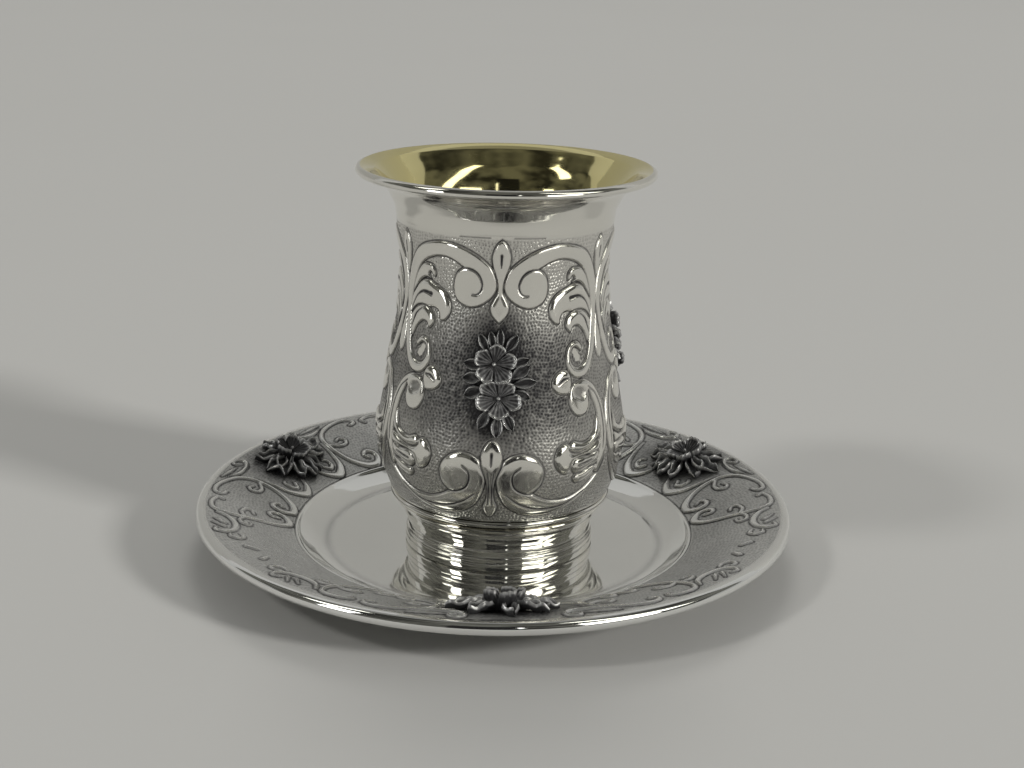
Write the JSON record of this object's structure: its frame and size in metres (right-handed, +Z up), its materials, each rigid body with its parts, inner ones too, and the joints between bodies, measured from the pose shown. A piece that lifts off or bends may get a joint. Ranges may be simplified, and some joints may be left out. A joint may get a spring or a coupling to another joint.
{
  "type": "kiddush cup",
  "caption": "Chased silver kiddush cup with a flared gilt mouth on a reeded foot, standing on its matching saucer with an embossed flower and scroll flange",
  "frame": {"origin": "centre of the saucer's flat underside, on the table", "axes": "+Z up; the front, with the flower sprays that face the viewer, is -Y; +X is to the viewer's right"},
  "size_m": [0.14, 0.14, 0.0905],
  "materials": {
    "chased_silver": "polished sterling silver with oxidised stippled ground, gilt inside",
    "polished_silver": "mirror polished silver",
    "oxidised_silver": "cast silver, darkened in the hollows and rubbed bright on the edges",
    "saucer_silver": "mirror polished well, matte embossed flange, polished rolled rim"
  },
  "bodies": {
    "root": {"cup_body": "chased_silver", "cup_foot": "polished_silver", "cup_spray_front": "oxidised_silver", "cup_spray_right": "oxidised_silver", "cup_spray_left": "oxidised_silver", "saucer": "saucer_silver", "saucer_spray_front": "oxidised_silver", "saucer_spray_right": "oxidised_silver", "saucer_spray_left": "oxidised_silver"}
  },
  "joints": []
}
